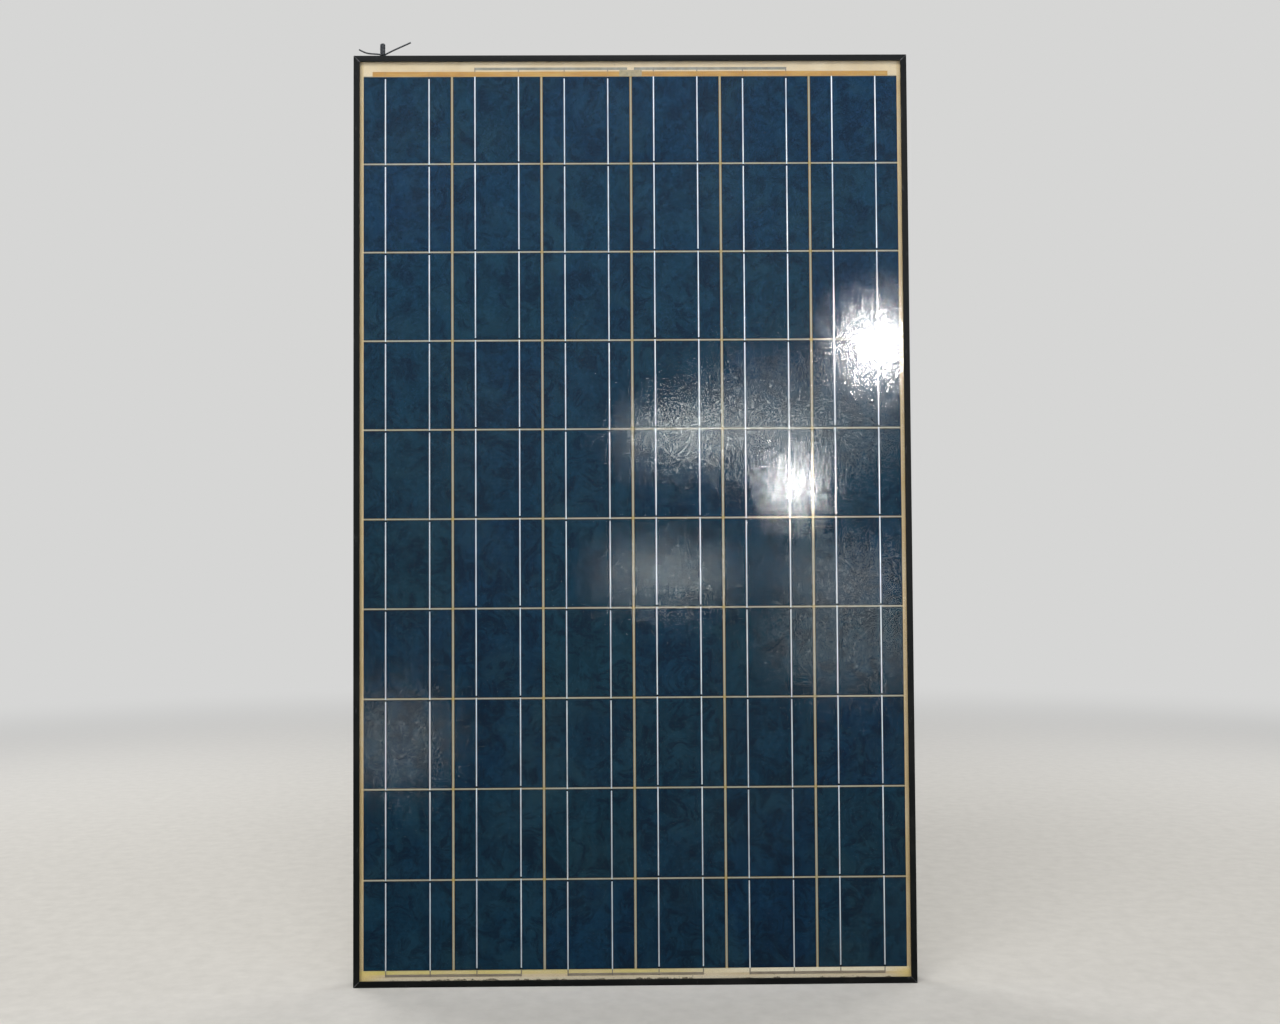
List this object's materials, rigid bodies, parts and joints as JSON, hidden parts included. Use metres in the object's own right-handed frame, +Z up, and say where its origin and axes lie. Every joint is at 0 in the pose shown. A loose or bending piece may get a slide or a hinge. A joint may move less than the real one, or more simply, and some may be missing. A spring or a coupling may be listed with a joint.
{
  "type": "solar panel",
  "caption": "Framed photovoltaic panel: square cells under textured glass in a mitred frame, with a hinged junction box behind.",
  "frame": {"origin": "middle of the bottom edge, halfway through the frame's depth", "axes": "+X to the right seen from the front, +Z up along the panel's height, the glass faces -Y"},
  "size_m": [0.99, 0.04, 1.6773],
  "materials": {
    "frame_black": "black anodised, satin, worn",
    "key_metal": "mill finish",
    "sealant": "cured silicone, matt",
    "glass": "lightly textured solar glass, clear",
    "encapsulant": "clear film, yellowed",
    "encapsulant_rear": "clear film, yellowed",
    "cell_silicon": "blue polycrystalline silicon with an anti-reflection coat",
    "ribbon_metal": "tinned copper, bright",
    "bus_metal": "tinned copper, dull",
    "amber_strip": "aged polyester strip",
    "insulator": "polyester sheet",
    "label": "blank printed label stock",
    "backsheet": "white film aged to cream",
    "box_plastic": "moulded, fine spark texture",
    "lid_plastic": "moulded, fine spark texture",
    "adhesive": "cured white silicone",
    "gasket_rubber": "soft rubber",
    "pin_steel": "plain",
    "terminal_brass": "tinned",
    "clip_steel": "spring steel",
    "diode_plastic": "moulded epoxy",
    "seal_rubber": "soft rubber",
    "nut_plastic": "moulded",
    "tie_wire": "grey coated steel wire"
  },
  "bodies": {
    "panel": {"frame_top": "frame_black", "frame_bottom": "frame_black", "frame_left": "frame_black", "frame_right": "frame_black", "corner_keys": "key_metal", "edge_seal": "sealant", "front_glass": "glass", "front_encapsulant": "encapsulant", "cell_string_1": "cell_silicon", "cell_string_2": "cell_silicon", "cell_string_3": "cell_silicon", "cell_string_4": "cell_silicon", "cell_string_5": "cell_silicon", "cell_string_6": "cell_silicon", "string_ribbons_1": "ribbon_metal", "string_ribbons_2": "ribbon_metal", "string_ribbons_3": "ribbon_metal", "string_ribbons_4": "ribbon_metal", "string_ribbons_5": "ribbon_metal", "string_ribbons_6": "ribbon_metal", "top_bus_lead_left": "bus_metal", "top_bus_link_left": "bus_metal", "top_bus_link_right": "bus_metal", "top_bus_lead_right": "bus_metal", "bottom_bus_link_left": "bus_metal", "bottom_bus_link_middle": "bus_metal", "bottom_bus_link_right": "bus_metal", "insulating_strip": "amber_strip", "lead_insulator": "insulator", "serial_label": "label", "rear_encapsulant": "encapsulant_rear", "backsheet": "backsheet", "rating_label": "label", "junction_box_base": "box_plastic", "junction_box_adhesive": "adhesive", "junction_box_hinge_pin": "pin_steel", "terminal_bars": "terminal_brass", "ribbon_clips": "clip_steel", "bypass_diode_1": "diode_plastic", "bypass_diode_2": "diode_plastic", "bypass_diode_3": "diode_plastic", "gland_seal_left": "seal_rubber", "gland_seal_right": "seal_rubber", "twist_tie": "tie_wire"},
    "box_lid": {"junction_box_lid": "lid_plastic", "junction_box_gasket": "gasket_rubber"},
    "left_gland_nut": {"gland_nut_left": "nut_plastic"},
    "right_gland_nut": {"gland_nut_right": "nut_plastic"}
  },
  "joints": [
    {"name": "lid_hinge", "type": "hinge", "parent": "panel", "child": "box_lid", "pos_m": [0, 0.0095, 1.599], "axis": [1, 0, 0], "range_deg": [0, 110]},
    {"name": "left_nut_turn", "type": "hinge", "parent": "panel", "child": "left_gland_nut", "pos_m": [-0.04, -0.0015, 1.468], "axis": [0, 0, 1], "range_deg": [0, 360]},
    {"name": "right_nut_turn", "type": "hinge", "parent": "panel", "child": "right_gland_nut", "pos_m": [0.04, -0.0015, 1.468], "axis": [0, 0, 1], "range_deg": [0, 360]}
  ]
}
